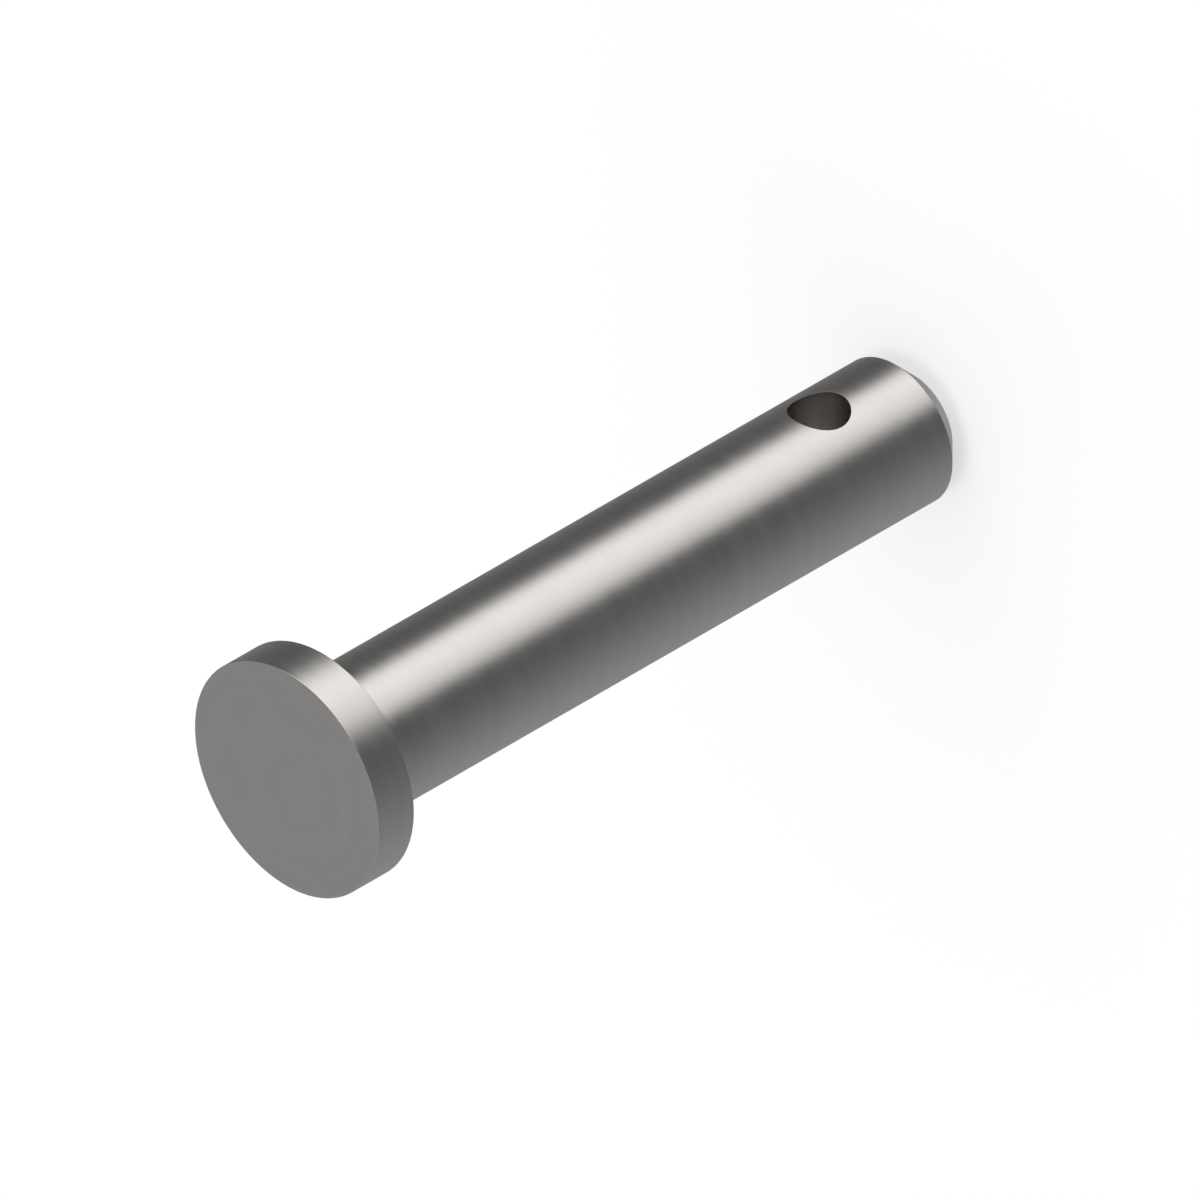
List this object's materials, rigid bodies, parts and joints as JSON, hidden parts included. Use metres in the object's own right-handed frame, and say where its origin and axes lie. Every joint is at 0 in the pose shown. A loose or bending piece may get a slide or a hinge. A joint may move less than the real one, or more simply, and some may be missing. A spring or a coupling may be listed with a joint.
{
  "type": "hydraulic valve pin",
  "caption": "Headed clevis pin with a flat round head, a plain cylindrical shank, a cross hole for a split pin and a chamfered tip.",
  "frame": {"origin": "centre of the flat tip face that the pin stands on", "axes": "+Z along the pin's axis from the tip up to the head; +X along the cross hole's axis"},
  "size_m": [0.013, 0.013, 0.0439],
  "materials": {
    "turned_steel": "fine turned plain steel, satin"
  },
  "bodies": {
    "root": {"pin": "turned_steel"}
  },
  "joints": []
}
